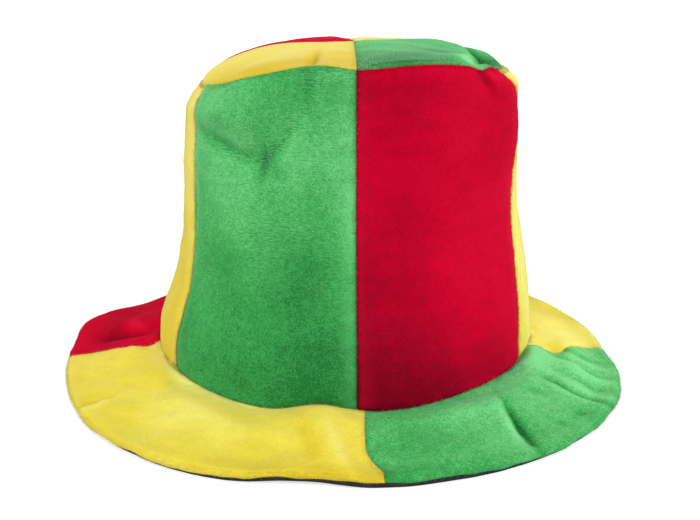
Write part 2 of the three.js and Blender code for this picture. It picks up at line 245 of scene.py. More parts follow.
# The crown's wall by height: its radius, and how far it leans towards +X
CROWN_WALL = Table(
    "height radius lean",
    (8, 96.2, 0),
    (25, 95.3, 0.3),
    (40, 92.2, 2.6),
    (50, 89.5, 3.8),
    (60, 87.5, 3.9),
    (72, 85.5, 3.8),
    (85, 84.0, 3.0),
    (105, 82.5, 2.7),
    (130, 81.4, 3.4),
    (165, 81.2, 3.4),
)

# The seam round the top: its height, its radius, and the height over which the wall rolls in to it
SHOULDER = Table(
    "angle height radius roll",
    (-180, 151, 78, 12),
    (-120, 146, 73.5, 15),
    (-80, 143.5, 72.5, 16),
    (-50, 147.5, 75, 15),
    (-26, 154.7, 78, 11),
    (-7, 159.5, 80, 8),
    (4, 157.8, 79.5, 8),
    (24, 159.2, 80, 8),
    (41, 157.2, 79.3, 8),
    (48, 154.6, 78.4, 8.5),
    (54, 155, 77, 9),
    (64, 152.2, 74.5, 9),
    (90, 150, 73, 7),
    (130, 150, 76, 11),
    closed=True,
)

# The brim: the height of the crown's seam, the rim's radius from the crown's middle, and its lift
BRIM_EDGE = Table(
    "angle seam rim lift",
    (-180, 12, 144, 0),
    (-140, 12, 138, 0),
    (-118, 12.5, 134.5, 0),
    (-103, 12.5, 148.5, 1),
    (-91, 12.5, 145.2, 0),
    (-78, 12.5, 144.4, 0),
    (-68, 12, 144.5, 0),
    (-56, 11.6, 146.8, 0),
    (-40, 10, 148.2, 0),
    (-20, 9.4, 147, 0),
    (-6, 13.8, 142.5, 1.5),
    (5, 10.6, 145, 0),
    (16, 10, 145.8, 0),
    (37, 11.9, 147.6, 0),
    (55, 12.6, 147.2, 0),
    (75, 13.6, 142.2, 0),
    (86, 13, 137.4, 0),
    (98, 12.4, 136.8, 0),
    (118, 12, 135.5, 0),
    (145, 12, 139, 0),
    closed=True,
)

# The brim's section from the crown's seam to the rim: the share of its fall, and the swell of its padding
BRIM_SECTION = Table(
    "out fall swell",
    (0, 0, 0),
    (0.07, 0.03, 0.6),
    (0.22, 0.2, 1.6),
    (0.42, 0.5, 1.5),
    (0.6, 0.8, 1.0),
    (0.78, 1, 0.4),
    (1, 1, 0),
)

# Where the dark cloth shows at the rim: how far it stops inside, and how far the plush curls down over it
HEM = Table(
    "angle inset curl",
    (-180, 2.4, 1.7),
    (-70, 2.4, 1.7),
    (-45, 1.8, 1.35),
    (-25, 1.4, 1.1),
    (-10, 1.0, 0.9),
    (3, 0.8, 0.6),
    (20, 1.1, 0.9),
    (34, 1.7, 1.3),
    (52, 1.9, 1.45),
    (80, 2.4, 1.7),
    closed=True,
)

# Folds and dents at an angle and a place up the crown, or out along the top or brim. The slant turns a
# fold's line from level, or from the way round, towards up or out. Length and width are half-sizes.
CROWN_FOLDS = [
    Fold(-43, 123, -9, 19, 7, -3.2),
    Fold(-29.5, 114, 90, 9, 6, -2.2),
    Fold(-23, 126, 38, 12, 6, -1.6),
    Fold(-48, 137, 0, 22, 9, 2.2),
    Fold(-12, 148, 90, 11, 5, -1.4),
    Fold(47, 151, -48, 8, 5, -1.8),
    Fold(33, 72, 90, 40, 24, -1.2),
    Fold(72, 122, 90, 24, 10, 1.6),
    Fold(98, 122, 90, 30, 14, -2.4),
    Fold(-112, 116, 12, 26, 9, -2.4),
    Fold(152, 62, -20, 24, 10, -1.6),
]
TOP_FOLDS = [
    Fold(-12, 62, 78, 20, 5, -1.2),
    Fold(45, 68, -35, 12, 5, 1.6),
    Fold(56, 72, -28, 13, 4.5, -1.8),
    Fold(76, 68, -16, 21, 10, -4.6),
    Fold(99, 42, 90, 32, 10, 2),
    Fold(160, 30, 0, 30, 18, -1.4),
    Fold(206, 34, 0, 40, 18, 0.3),
    Fold(246, 58, 0, 15, 12, -0.9),
]
BRIM_FOLDS = [
    Fold(36, 129, 110, 13, 5, -1.6),
    Fold(61, 122, 92, 22, 5, -1.3),
    Fold(67, 118, 92, 20, 5, 1.6),
    Fold(66, 101, -13, 16, 6, 3),
    Fold(0, 135, 60, 12, 5, 1.5),
    Fold(-5, 102, 0, 9, 5, 1.6),
    Fold(-55, 138, 95, 8, 5, -1.3),
    Fold(-91, 115, 92, 16, 5, -1.5),
    Fold(-99, 121, 105, 18, 7, 2.5),
    Fold(12, 140, 5, 16, 4, 1),
]

# Sharper creases along the same folds; they also set the painted shade in their hollows and painted light on
# their ridges
CROWN_CREASES = [
    Fold(-42, 121, -15, 21, 3.4, -2),
    Fold(-44, 126, -15, 18, 4, 0.9),
    Fold(-26.5, 115, 82, 9, 3.2, -2.2),
    Fold(-21, 124, 52, 12, 3, -1.4),
    Fold(-19, 119, 52, 12, 4, 0.6),
    Fold(-10.5, 150, 90, 12, 2.2, -1),
    Fold(49.5, 151, -53, 8, 2.2, -1.6),
    Fold(52, 153, -53, 7, 3, 0.9),
    Fold(12, 149, 90, 10, 2, 0.3),
    Fold(17, 149, 90, 10, 2, 0.3),
]
TOP_CREASES = [
    Fold(-12, 65, 78, 22, 1.7, -2.6),
    Fold(60, 67, -17, 24, 3.4, 2.2),
    Fold(76.5, 67.5, -13, 24, 2.1, -5),
    Fold(90, 73, -4, 18, 3, 1.2),
    Fold(8, 68, 90, 9, 1.6, 0.35),
    Fold(12.5, 68, 90, 9, 1.6, 0.35),
]
BRIM_CREASES = [
    Fold(37.2, 128, 109, 15, 1.8, -5),
    Fold(34.7, 128, 109, 15, 2.4, 2),
    Fold(39.6, 128, 109, 14, 3.6, -0.7),
    Fold(58.2, 128, 87, 17, 1.8, -3),
    Fold(60.4, 128, 87, 18, 1.9, 1.6),
    Fold(55.8, 132, 87, 12, 1.8, 1.2),
    Fold(59.5, 114, 97, 8, 2.2, -2.6),
    Fold(64, 125, 90, 16, 2, -1.6),
    Fold(67.2, 126, 92, 15, 1.9, 1.2),
    Fold(70.4, 126, 94, 15, 1.9, -1.5),
    Fold(74, 121, 92, 16, 2.2, 1.2),
    Fold(78, 124, 92, 14, 2.2, -1.1),
    Fold(51.5, 137, 30, 4, 2.2, -1.6),
    Fold(50.3, 114.5, 60, 6, 3, -1.1),
    Fold(45, 136, 80, 8, 2.2, -0.8),
    Fold(-57.7, 138, 92, 9, 1.8, -2.6),
    Fold(-55.4, 138, 92, 9, 2.4, 1.4),
    Fold(-60.6, 137, 92, 8, 4, -0.8),
    Fold(-1, 126, 69, 22, 3.4, 1.5),
    Fold(-6.5, 122, 69, 16, 4, -1.2),
    Fold(-30, 114, 10, 24, 7, 0.9),
    Fold(-89, 113, 110, 16, 4.4, -2.6),
    Fold(-91.5, 109, 136, 13, 3, 1.4),
    Fold(-82, 99, 10, 8, 4, 0.7),
    Fold(24, 110, 4, 26, 6, 0.8),
    Fold(17, 136, 6, 20, 4, 0.7),
    Fold(76, 110, -5, 10, 6, -2.2),
]

# Soft waves of the cloth everywhere: their size, their rise and the seed that places them, then how many are
# laid over each other, and how much their sizes vary
CLOTH_WAVES = [(34, 0.3, 3), (13, 0.12, 5), (5, 0.035, 8)]
TOP_WAVES = [(34, 0.25, 3), (13, 0.04, 5)]
BRIM_WAVES = [(30, 0.5, 23), (13, 0.22, 5), (5, 0.05, 8)]
WAVE_COUNT = 14
WAVE_SPREAD = (0.7, 1.4)

# Painted shade (below 0) and painted light on the pile, at an angle and a height on the crown or a radius
# elsewhere, over half-sizes round the hat and along
CROWN_PAINTED_LIGHT = [
    PaintedLight(-22, 40, 78, 44, -0.26),
    PaintedLight(-2, 14, 40, 44, -0.7),
    PaintedLight(34, 8, 60, 22, -0.72),
    PaintedLight(-40, 8, 40, 17, -0.15),
    PaintedLight(14, 70, 20, 60, -0.2),
    PaintedLight(-1, 110, 8, 75, 0.3),
    PaintedLight(2.6, 85, 4, 52, 0.45),
    PaintedLight(5.8, 80, 4, 75, -0.32),
    PaintedLight(10, 152, 20, 12, -0.3),
    PaintedLight(40, 66, 24, 26, 0.2),
    PaintedLight(-50, 136, 20, 24, 0.4),
    PaintedLight(-36, 92, 26, 22, 0.25),
    PaintedLight(-16, 104, 8, 24, 0.25),
    PaintedLight(-21, 117, 5, 6, -0.4),
    PaintedLight(-44, 26, 26, 22, -0.15),
    PaintedLight(-15, 74, 30, 20, -0.25),
    PaintedLight(-68, 120, 14, 50, 0.75),
    PaintedLight(-68, 22, 20, 34, -0.4),
    PaintedLight(74, 56, 12, 50, 1.4),
    PaintedLight(82, 146, 18, 16, 1),
]
TOP_PAINTED_LIGHT = [
    PaintedLight(-24, 76, 50, 12, -1),
    PaintedLight(24, 66, 40, 30, -0.9),
    PaintedLight(-17, 72, 6, 10, -0.5),
    PaintedLight(-76, 74, 20, 12, 0.4),
    PaintedLight(47.5, 74, 9, 8, 1.3),
    PaintedLight(76, 71, 18, 5, -2.1),
    PaintedLight(59, 77, 7, 6, -1.6),
]
BRIM_PAINTED_LIGHT = [
    PaintedLight(66, 122, 34, 30, 0.8),
    PaintedLight(36, 122, 30, 30, 0.35),
    PaintedLight(67, 103, 13, 7, 1.2),
    PaintedLight(-46, 97, 50, 6, 1.2),
    PaintedLight(-36, 122, 34, 12, 0.35),
    PaintedLight(-5, 142, 50, 5, -0.5),
    PaintedLight(-96, 125, 30, 9, -0.4),
    PaintedLight(92, 118, 26, 24, 0.8),
]


def lerp(a, b, share):
    return a + (b - a) * share


def turn_between(a, b):
    """The angle from a to b the short way round."""
    return (b - a + 540) % 360 - 180


def hill(distance, half_width):
    return np.exp(-((distance / half_width) ** 2))


def fold_rise(folds, angle, place, radius):
    """How far a list of folds lifts the cloth."""
    total = 0.0
    for fold in folds:
        round_it = np.radians(turn_between(fold.angle, angle)) * radius
        on = place - fold.place
        slant = math.radians(fold.slant)
        along = round_it * math.cos(slant) + on * math.sin(slant)
        across = on * math.cos(slant) - round_it * math.sin(slant)
        total = total + fold.rise * hill(along, fold.length) * hill(across, fold.width)
    return total


def seam_pull(pieces, angle, radius):
    """How far the nearest seam of a row of pieces pulls the cloth in."""
    nearest = np.min([np.abs(turn_between(piece.start, angle)) for piece in pieces], axis=0)
    return SEAM_PINCH * hill(np.radians(nearest) * radius, SEAM_SPREAD)


def leaning(height, angle):
    return CROWN_WALL.at(height, "lean") * np.sin(np.radians(angle))


def points_at(angle, radius, height):
    turn = np.radians(angle)
    return np.stack([BRIM_SHIFT + radius * np.sin(turn), -radius * np.cos(turn), height + 0 * turn], axis=-1)


def waves(points, size, seed):
    """Soft random waves of about this size through space, mostly from -1 to 1."""
    draw = np.random.default_rng(seed)
    total = 0.0
    for _ in range(WAVE_COUNT):
        way = draw.normal(size=3)
        way /= np.linalg.norm(way) * size * draw.uniform(*WAVE_SPREAD)
        total = total + np.sin(points @ way * 2 * math.pi + draw.uniform(0, 2 * math.pi))
    return total / math.sqrt(WAVE_COUNT / 2)


def painted_light_tone(patches, angle, place, radius):
    """Painted light and shade on the pile, by a list of patches."""
    total = 0.0
    for patch in patches:
        across = np.radians(turn_between(patch.angle, angle)) * radius
        total = total + patch.tone * hill(across, patch.across) * hill(place - patch.place, patch.along)
    return total


def sewn_steps(length, step=CLOTH_STEP):
    """Shares of a length, with grid lines close together at its two rolled edges."""
    edge = np.array(EDGE_PLACES)
    inner = np.linspace(edge[-1], length - edge[-1], max(2, round((length - 2 * edge[-1]) / step) + 1))
    return np.concatenate([edge[:-1], inner, length - edge[-2::-1]]) / length


def unit(vectors):
    return vectors / np.maximum(np.linalg.norm(vectors, axis=-1, keepdims=True), TINY)


def level_out(points):
    """The level directions from the crown's middle to a grid of points."""
    return unit((points - [BRIM_SHIFT, 0, 0]) * [1, 1, 0])


def facing(points):
    """The outward directions of a grid of points."""
    return unit(np.cross(np.gradient(points, axis=1), np.gradient(points, axis=0)))


def softened(points, rolls, wave_rows, closing=1.0, puckers=PUCKER_RISE, ledge=0.0):
    """A grid of points with edges rolled into seams, puckers and soft waves, and its reach from a seam.
    rolls has the depth at the first row, last row, first column and last column, or None at a free edge.
    closing is the share of these depths, puckers the rise of the gathers, and ledge the width at a side of
    no depth that lies still. Only a seam deeper than a flat one counts for the reach."""
    out = facing(points)
    reach = np.full(points.shape[:2], np.inf)
    held = reach
    drop = np.zeros(points.shape[:2])
    calm = 1.0
    for side, depth in enumerate(rolls):
        axis = side // 2
        steps = np.linalg.norm(np.diff(points, axis=axis), axis=-1)
        run = np.concatenate([np.zeros_like(steps.take([0], axis)), np.cumsum(steps, axis)], axis)
        if side % 2:
            run = run.take([-1], axis) - run
        if depth == 0:
            run = np.maximum(run - ledge, 0)
        if depth is None:
            calm = 1 - hill(run, RIM_CALM)
            continue
        near = 1 - np.clip(run / ROLL_WIDTH, 0, 1)
        drop = np.maximum(drop, depth * (1 - np.sqrt(1 - near**2)))
        held = np.minimum(held, run)
        if depth > FLAT_ROLL:
            reach = np.minimum(reach, run)
    loose = np.clip(held / ROLL_WIDTH, 0, 1) * calm
    rise = puckers * waves(points, PUCKER_SIZE, PUCKER_SEED) * np.exp(-held / PUCKER_REACH)
    for size, high, seed in wave_rows:
        rise = rise + high * waves(points, size, seed)
    return points + out * (rise * loose - drop * closing)[..., None], reach


def crown_grid(panel):
    """A crown panel between two seams, from the brim's seam up to the top's: the grids of its outside and
    inside, its place in the flat cloth along and across, and the painted light and shade on its pile."""
    free = math.degrees(STITCH_GAP / 2 / CROWN_WALL.at(TOP_CENTRE_HEIGHT, "radius"))
    middle_radius = CROWN_WALL.at(TOP_CENTRE_HEIGHT / 2, "radius")
    around = sewn_steps(math.radians(panel.end - panel.start) * middle_radius)
    column = lerp(panel.start + free, panel.end - free, around)[None, :]
    share = sewn_steps(CROWN_CLOTH_HEIGHT)[:, None]
    gathered = GATHER.at(share, "turn") * hill(turn_between(GATHERED_SEAM, column), GATHER_SPREAD)
    swing = CROWN_SEAM_SWINGS.at(column, "swing") * share ** CROWN_SEAM_SWINGS.at(column, "late")
    angle = column + swing + gathered
    top, roll = SHOULDER.at(angle, "height"), SHOULDER.at(angle, "roll")
    height = lerp(BRIM_EDGE.at(angle, "seam"), top, share)
    rolled = np.clip((height - top + roll) / roll, 0, 1) ** 2
    upright = lerp(CROWN_WALL.at(height, "radius"), SHOULDER.at(angle, "radius"), rolled)
    smooth = upright + leaning(height, angle)
    folds = CROWN_FOLDS + CROWN_CREASES
    pulled = fold_rise(folds, angle, height, smooth) - seam_pull(CROWN_PANELS, column + 0 * share, smooth)
    radius = smooth + pulled * (1 - rolled)
    # painted shade in the creases and painted light on their ridges
    crease_shading = CREASE_SHADE * fold_rise(CROWN_CREASES, angle, height, smooth)
    nap_and_painted_light = painted_light_tone(CROWN_PAINTED_LIGHT, angle, height, radius) + crease_shading
    points = points_at(angle, radius, height)
    inside = points - WALL * level_out(points)
    inside[..., 2] -= CROWN_BEVEL * hill(top - height, 2 * WALL)
    return points, inside, np.radians(angle) * middle_radius, height, nap_and_painted_light


def top_grid(quarter):
    """A quarter of the top, as a square grid bent to a quarter disc: the same grids as a crown panel has."""
    middle, half = (quarter.start + quarter.end) / 2, (quarter.end - quarter.start) / 2
    steps = np.sin(sewn_steps(SHOULDER.at(middle, "radius") * math.pi / 2) * math.pi / 2)
    a, b = np.meshgrid(steps, steps)
    share = np.maximum(a, b)
    safe = np.maximum(share, TINY)
    side = np.where(a > b, b / safe - 1, 1 - a / safe) * (share > 0)
    angle = middle + side * half
    edge_height = SHOULDER.at(angle, "height")
    radius = (SHOULDER.at(angle, "radius") + leaning(edge_height, angle)) * share
    full = (1 - share**TOP_FULLNESS) ** TOP_RISE
    folds = TOP_FOLDS + TOP_CREASES
    pulled = fold_rise(folds, angle, radius, radius) - seam_pull(TOP_QUARTERS, angle, radius)
    height = lerp(edge_height + STITCH_GAP, TOP_CENTRE_HEIGHT, full) + pulled * (1 - share**EDGE_FADE)
    inward = (1 - share) * SHOULDER.at(middle, "radius")
    dip = EDGE_DIP * inward + INNER_DIP * np.maximum(inward - WALL, 0)
    height = np.maximum(height, edge_height + STITCH_GAP - dip)
    points = points_at(angle, radius, height)
    points[..., 0] += TOP_MIDDLE_SHIFT * (1 - share)
    clear = STITCH_GAP / 2 / math.sin(math.radians(half))
    away = points_at(middle, clear, 0.0) - points_at(middle, 0.0, 0.0)
    # painted shade in the creases and painted light on their ridges
    crease_shading = CREASE_SHADE * fold_rise(TOP_CREASES, angle, radius, radius)
    nap_and_painted_light = painted_light_tone(TOP_PAINTED_LIGHT, angle, radius, radius) + crease_shading
    turned = hill(inward, TOP_TURN)[..., None]
    inside = points + away - WALL * lerp(UP, level_out(points), turned)
    inside[..., 2] -= TOP_BEVEL * turned[..., 0]
    return points + away, inside, points[..., 1], points[..., 0], nap_and_painted_light


def brim_columns(quarter, step=CLOTH_STEP):
    free = math.degrees(STITCH_GAP / 2 / CROWN_BASE_RADIUS)
    around = sewn_steps(math.radians(quarter.end - quarter.start) * BRIM_MIDDLE_RADIUS, step)
    return lerp(quarter.start + free, quarter.end - free, around)


def brim_layers(column, out, back):
    """The brim's layers in a grid of columns round the crown and rows across the brim: each row a share of
    the way out from the crown's seam, and a step back in from there."""
    angle = column + BRIM_SEAM_SWINGS.at(column, "swing") * out
    for name, seam in BENT_SEAMS.items():
        angle = angle + BRIM_SEAM_BENDS.at(out, name) * hill(turn_between(seam, column), BEND_SPREAD)
    rim = BRIM_EDGE.at(angle, "rim")
    lumps = sum(rise * waves(points_at(angle, rim, 0.0), size, seed) for size, rise, seed in RIM_LUMPS)
    rim = rim - RIM_PILE + lumps
    radius = lerp(CROWN_BASE_RADIUS, rim, out) - back
    fall, swell = BRIM_SECTION.at(out, "fall"), BRIM_SECTION.at(out, "swell")
    flat = UNDER_CLOTH + LAYER_GAP + WALL
    lift = np.maximum(BRIM_EDGE.at(angle, "lift"), 0) * out
    smooth = lerp(BRIM_EDGE.at(angle, "seam") - STITCH_GAP, flat, fall) + lift
    fade = np.minimum(out / FOLD_FADE, 1) * (1 - RIM_HOLD * hill(rim - radius, RIM_CALM))
    folds = BRIM_FOLDS + BRIM_CREASES
    pulled = fold_rise(folds, angle, radius, radius) - seam_pull(BRIM_QUARTERS, column + 0 * out, radius)
    base = smooth - WALL
    top = np.maximum(smooth + swell + pulled * fade, base + THINNEST_BRIM)
    nose = np.clip(1 - (rim - radius) / RIM_NOSE, 0, 1)
    rounded = np.sqrt(1 - nose**2)
    curl = np.clip(HEM.at(angle, "curl") + HEM_UNEVEN * lumps, 0, DEEPEST_CURL) * nose
    tip = (top + base) / 2 - curl
    plush_base = lerp(tip, base - curl, rounded)
    # painted shade in the creases and painted light on their ridges
    crease_shading = CREASE_SHADE * fold_rise(BRIM_CREASES, angle, radius, radius)
    return {
        "plush_top": points_at(angle, radius, lerp(tip, top, rounded)),
        "plush_base": points_at(angle, radius, plush_base),
        "cloth_top": points_at(angle, radius, plush_base - HEM_GAP),
        "cloth_base": points_at(angle, radius, base - LAYER_GAP - UNDER_CLOTH),
        "nap_and_painted_light": painted_light_tone(BRIM_PAINTED_LIGHT, angle, radius, radius) + crease_shading,
    }


def brim_rows(rim_backs, step=CLOTH_STEP):
    """The brim's rows from the rim in to the crown's seam, and one more below the crown's wall."""
    width = BRIM_EDGE.at(0, "rim") - CROWN_BASE_RADIUS
    inward = sewn_steps(width, step)
    narrowest = BRIM_EDGE.columns["rim"].min() - CROWN_BASE_RADIUS
    inward = inward[inward * narrowest >= RIM_NOSE + step / 2]
    out = np.concatenate([np.ones(len(rim_backs)), 1 - inward, [0]])
    back = np.concatenate([rim_backs, np.zeros(len(inward)), [WALL]])
    return out[:, None], back[:, None]


def wall_faces(rows, columns, ring):
    """The faces of a closed wall between two matching grids: the outside and edges, then the inside."""
    index = np.arange(2 * rows * columns).reshape(2, rows, columns)
    if ring:
        index = np.concatenate([index, index[:, :, :1]], axis=2)
    out, back = index

    def quads(*corners):
        return np.stack(corners, axis=-1).reshape(-1, 4)

    shown = [
        quads(out[:-1, :-1], out[:-1, 1:], out[1:, 1:], out[1:, :-1]),
        quads(back[0, :-1], back[0, 1:], out[0, 1:], out[0, :-1]),
        quads(out[-1, :-1], out[-1, 1:], back[-1, 1:], back[-1, :-1]),
    ]
    if not ring:
        shown += [
            quads(back[:-1, 0], out[:-1, 0], out[1:, 0], back[1:, 0]),
            quads(out[:-1, -1], back[:-1, -1], back[1:, -1], out[1:, -1]),
        ]
    hidden = quads(back[:-1, :-1], back[1:, :-1], back[1:, 1:], back[:-1, 1:])
    return np.concatenate(shown), hidden


def new_piece(name, points, faces, marks):
    """A piece in millimetres that rides on the hat. Its marks are numbers or vectors on each point."""
    mesh = bpy.data.meshes.new(name)
    mesh.from_pydata((points * MM).tolist(), [], faces.tolist())
    for mark, values in marks.items():
        kind = "FLOAT" if values.ndim == 1 else "FLOAT_VECTOR"
        data = mesh.attributes.new(mark, kind, "POINT").data
        data.foreach_set("value" if values.ndim == 1 else "vector", values.astype(np.float32).ravel())
    mesh.polygons.foreach_set("use_smooth", np.ones(len(mesh.polygons), bool))
    mesh.update()
    piece = bpy.data.objects.new(name, mesh)
    bpy.context.scene.collection.objects.link(piece)
    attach(piece, "root")
    return piece


def cloth_wall(node, outside, inside, marks, materials, ring=False):
    """A closed cloth piece in the place of a node of the frame. Its marks are grids over the outside."""
    shown, hidden = wall_faces(*outside.shape[:2], ring)
    points = np.concatenate([outside.reshape(-1, 3), inside.reshape(-1, 3)])
    doubled = {}
    for mark, grid in marks.items():
        flat = grid.reshape(len(points) // 2, -1)
        doubled[mark] = np.concatenate([flat, flat]).squeeze()
    piece = new_piece(node + "_cloth", points, np.concatenate([shown, hidden]), doubled)
    for material in materials:
        piece.data.materials.append(material)
    piece.data.polygons.foreach_set("material_index", np.repeat([0, 1], [len(shown), len(hidden)]))
    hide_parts(node)
    return piece


def cloth_marks(reach, along, across, nap_and_painted_light, rows=0.0, grain=1.0):
    """Reach from a seam and place in the flat cloth in metres, the painted light and shade on the pile, how
    far the knitted rows show through it, and how rough it is."""
    zero = 0 * along
    return {
        "seam": np.minimum(reach, FAR_FROM_SEAM) * MM,
        "cloth": np.stack([along, across, zero], axis=-1) * MM,
        "nap_and_painted_light": nap_and_painted_light + zero,
        "rows": rows + zero,
        "grain": grain + zero,
    }


def grow_fuzz(node, outside, marks, material, seed):
    """Short tufts along the edges of a cloth piece: closed slender spikes that lean with the nap."""
    draw = np.random.default_rng(seed)
    corners = [outside[:-1, :-1], outside[:-1, 1:], outside[1:, 1:], outside[1:, :-1]]
    across = np.cross(corners[2] - corners[0], corners[3] - corners[1])
    area = np.linalg.norm(across, axis=-1) / 2
    area[FUZZ_LINES:-FUZZ_LINES, FUZZ_LINES:-FUZZ_LINES] = 0
    count = int(area.sum() * FUZZ_PER_SQUARE_MM)
    cell = draw.choice(area.size, count, p=area.ravel() / area.sum())
    row, column = np.unravel_index(cell, corners[0].shape[:2])
    u, v = draw.random((2, count, 1))

    def at_roots(grid):
        grid = grid[..., None] if grid.ndim == 2 else grid
        low = lerp(grid[row, column], grid[row, column + 1], u)
        return lerp(low, lerp(grid[row + 1, column], grid[row + 1, column + 1], u), v)

    root = at_roots(outside)
    out = unit(at_roots(facing(outside)))
    over = unit(root - outside.reshape(-1, 3).mean(axis=0))
    down = -UP + FUZZ_OUTWARD * unit(root - HAT_MIDDLE) + over
    lean = down - out * np.sum(down * out, axis=1, keepdims=True)
    way = unit(out + FUZZ_LEAN * lean + FUZZ_STRAY * draw.normal(size=(count, 3)))
    side = unit(np.cross(way, draw.normal(size=(count, 3))))
    other = np.cross(way, side)
    width = draw.uniform(*FUZZ_WIDTH, (count, 1)) / 2
    length = draw.uniform(*FUZZ_LENGTH, (count, 1)) * at_roots(marks["grain"])
    foot = root - out * FUZZ_ROOT
    turns = [0, 2 * math.pi / 3, 4 * math.pi / 3]
    ring = [foot + width * (math.cos(turn) * side + math.sin(turn) * other) for turn in turns]
    points = np.stack([*ring, foot + way * (length + FUZZ_ROOT)], axis=1).reshape(-1, 3)
    first = 4 * np.arange(count)[:, None, None]
    faces = (first + np.array([[0, 1, 3], [1, 2, 3], [2, 0, 3], [2, 1, 0]])).reshape(-1, 3)
    own = {mark: np.repeat(at_roots(grid).squeeze(), 4, axis=0) for mark, grid in marks.items()}
    own["nap_and_painted_light"] = own["nap_and_painted_light"] + np.repeat(draw.normal(*FUZZ_TONE, count), 4)
    fuzz = new_piece(node + "_fuzz", points, faces, own)
    shading = np.repeat(unit(out + FUZZ_SHADING * way), 4, axis=0)
    fuzz.data.normals_split_custom_set_from_vertices(shading.tolist())
    fuzz.data.materials.append(material)
    return fuzz


def finish_piece(piece, outside, marks, materials, seed):
    """Gives a cloth piece the fuzz along its edges."""
    fuzz = grow_fuzz(piece.name.removesuffix("_cloth"), outside, marks, materials[0], seed)
    return fuzz


def make_crown(panel, materials, seed):
    points, inside, along, across, nap_and_painted_light = crown_grid(panel)
    closing = 1 - (across / across[-1:]) ** SIDE_CLOSING
    outside, reach = softened(points, (0, 0, SIDE_ROLL, SIDE_ROLL), CLOTH_WAVES, closing)
    rows = ROWS_SHOWN[panel.cloth] * np.clip((across - ROWS_FROM) / (ROWS_FULL - ROWS_FROM), ROWS_LEAST, 1)
    marks = cloth_marks(reach, along, across, nap_and_painted_light, rows)
    piece = cloth_wall(panel.name, outside, inside, marks, materials)
    fuzz = finish_piece(piece, outside, marks, materials, seed)


def make_top(quarter, materials, seed):
    points, inside, along, across, nap_and_painted_light = top_grid(quarter)
    rolls = (FLAT_ROLL, 0, FLAT_ROLL, 0)
    outside, reach = softened(points, rolls, TOP_WAVES, puckers=TOP_PUCKERS, ledge=WALL)
    marks = cloth_marks(reach, along, across, nap_and_painted_light, TOP_ROWS * ROWS_SHOWN[quarter.cloth], TOP_GRAIN)
    piece = cloth_wall(quarter.name, outside, inside, marks, materials)
    fuzz = finish_piece(piece, outside, marks, materials, seed)


def make_brim(quarter, materials, seed):
    out, back = brim_rows(RIM_NOSE * np.array(NOSE_PLACES))
    layers = brim_layers(brim_columns(quarter)[None, :], out, back)
    points = layers["plush_top"]
    outside, reach = softened(points, (None, 0, FLAT_ROLL, FLAT_ROLL), BRIM_WAVES, ledge=CROWN_LEDGE)
    marks = cloth_marks(reach, points[..., 0], points[..., 1], layers["nap_and_painted_light"])
    piece = cloth_wall(quarter.name, outside, layers["plush_base"], marks, materials)
    shown = slice(0, -1)  # all but the row below the crown
    edges = {mark: grid[shown] for mark, grid in marks.items()}
    finish_piece(piece, outside[shown], edges, materials, seed)


def make_underside(materials):
    column = np.concatenate([brim_columns(quarter, LINING_STEP)[1:] for quarter in BRIM_QUARTERS])[None, :]
    out, back = brim_rows(np.array(HEM_PLACES), LINING_STEP)
    inset = HEM.at(column + BRIM_SEAM_SWINGS.at(column, "swing"), "inset")
    layers = brim_layers(column, out, np.where(out == 1, np.minimum(back + inset, RIM_NOSE), back))
    top, base = layers["cloth_top"], layers["cloth_base"]
    marks = cloth_marks(np.full(top.shape[:2], FAR_FROM_SEAM), base[..., 0], base[..., 1], 0.0)
    piece = cloth_wall("brim_underside", top, base, marks, materials, ring=True)


def srgb(red, green, blue):
    """A colour as seen, from 0 to 255, as the shader's linear numbers."""
    seen = np.array([red, green, blue]) / 255
    return (*np.where(seen <= 0.04045, seen / 12.92, ((seen + 0.055) / 1.055) ** 2.4).tolist(), 1.0)


def fill_sockets(tree, node, sockets):
    """Sets each named socket to a value, or links it to another node's output."""
    for key, value in sockets.items():
        if isinstance(value, bpy.types.NodeSocket):
            tree.links.new(value, node.inputs[key])
        else:
            node.inputs[key].default_value = value


def add_node(tree, kind, sockets=None, **settings):
    node = tree.nodes.new(kind)
    for key, value in settings.items():
        setattr(node, key, value)
    fill_sockets(tree, node, sockets or {})
    return node


def new_group(name, inputs, outputs):
    """An empty shader node group with named sockets, and its input and output nodes."""
    group = bpy.data.node_groups.new(name, "ShaderNodeTree")
    for label, kind in inputs:
        group.interface.new_socket(label, in_out="INPUT", socket_type="NodeSocket" + kind)
    for label, kind in outputs:
        group.interface.new_socket(label, in_out="OUTPUT", socket_type="NodeSocket" + kind)
    return group, group.nodes.new("NodeGroupInput"), group.nodes.new("NodeGroupOutput")


def noise(tree, vector, scale, detail=2.0, roughness=0.5):
    sockets = {"Vector": vector, "Scale": scale, "Detail": detail, "Roughness": roughness}
    return add_node(tree, "ShaderNodeTexNoise", sockets).outputs["Fac"]


def math_node(tree, operation, first, second=0.0, third=0.0):
    sockets = {0: first, 1: second, 2: third}
    return add_node(tree, "ShaderNodeMath", sockets, operation=operation).outputs[0]


def ramp(tree, value, low, high, to_low=0.0, to_high=1.0):
    """A value's range from low to high, brought to another range and held at its ends."""
    sockets = {"Value": value, "From Min": low, "From Max": high, "To Min": to_low, "To Max": to_high}
    return add_node(tree, "ShaderNodeMapRange", sockets).outputs["Result"]


def mixed(tree, share, first, second, blend="MIX"):
    """Two colours mixed. The numbers are the Mix node's sockets for colours."""
    sockets = {0: share, 6: first, 7: second}
    return add_node(tree, "ShaderNodeMix", sockets, data_type="RGBA", blend_type=blend).outputs[2]


